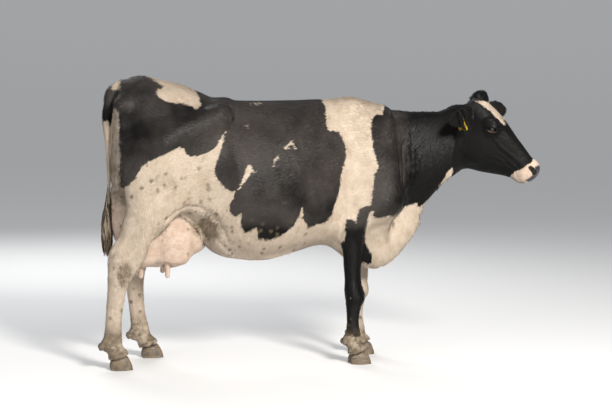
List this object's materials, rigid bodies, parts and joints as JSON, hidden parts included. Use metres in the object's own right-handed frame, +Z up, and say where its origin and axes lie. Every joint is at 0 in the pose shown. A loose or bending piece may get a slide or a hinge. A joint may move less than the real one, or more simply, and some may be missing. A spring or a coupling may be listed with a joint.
{
  "type": "cow",
  "caption": "Standing adult black-and-white dairy cow without horns, head turned to its right, with a full udder, a hanging tail and plain ear tags.",
  "frame": {"origin": "middle of the underside of the model's box, on the floor between the feet", "axes": "+X along the back from the tail towards the head, +Y to the cow's left side, +Z up"},
  "size_m": [2.3386, 0.7212, 1.5066],
  "materials": {
    "coat": "short hair, black and cream-white patches",
    "bare_skin": "soft pink skin with fine hair",
    "horn": "dull dirty horn",
    "eye": "wet and glossy",
    "eartag": "flexible plain plastic"
  },
  "bodies": {
    "root": {"trunk": "coat", "neck": "coat", "head": "coat", "tail": "coat", "ear_right": "coat", "ear_left": "coat", "leg_front_right": "coat", "leg_front_left": "coat", "leg_hind_right": "coat", "leg_hind_left": "coat", "udder": "bare_skin", "teat_fore_right": "bare_skin", "teat_fore_left": "bare_skin", "teat_rear_right": "bare_skin", "teat_rear_left": "bare_skin", "claw_front_right_inner": "horn", "claw_front_right_outer": "horn", "claw_front_left_inner": "horn", "claw_front_left_outer": "horn", "claw_hind_right_inner": "horn", "claw_hind_right_outer": "horn", "claw_hind_left_inner": "horn", "claw_hind_left_outer": "horn", "dewclaw_front_right_inner": "horn", "dewclaw_front_right_outer": "horn", "dewclaw_front_left_inner": "horn", "dewclaw_front_left_outer": "horn", "dewclaw_hind_right_inner": "horn", "dewclaw_hind_right_outer": "horn", "dewclaw_hind_left_inner": "horn", "dewclaw_hind_left_outer": "horn", "eye_right": "eye", "eye_left": "eye", "eartag_front": "eartag", "eartag_back": "eartag"}
  },
  "joints": []
}
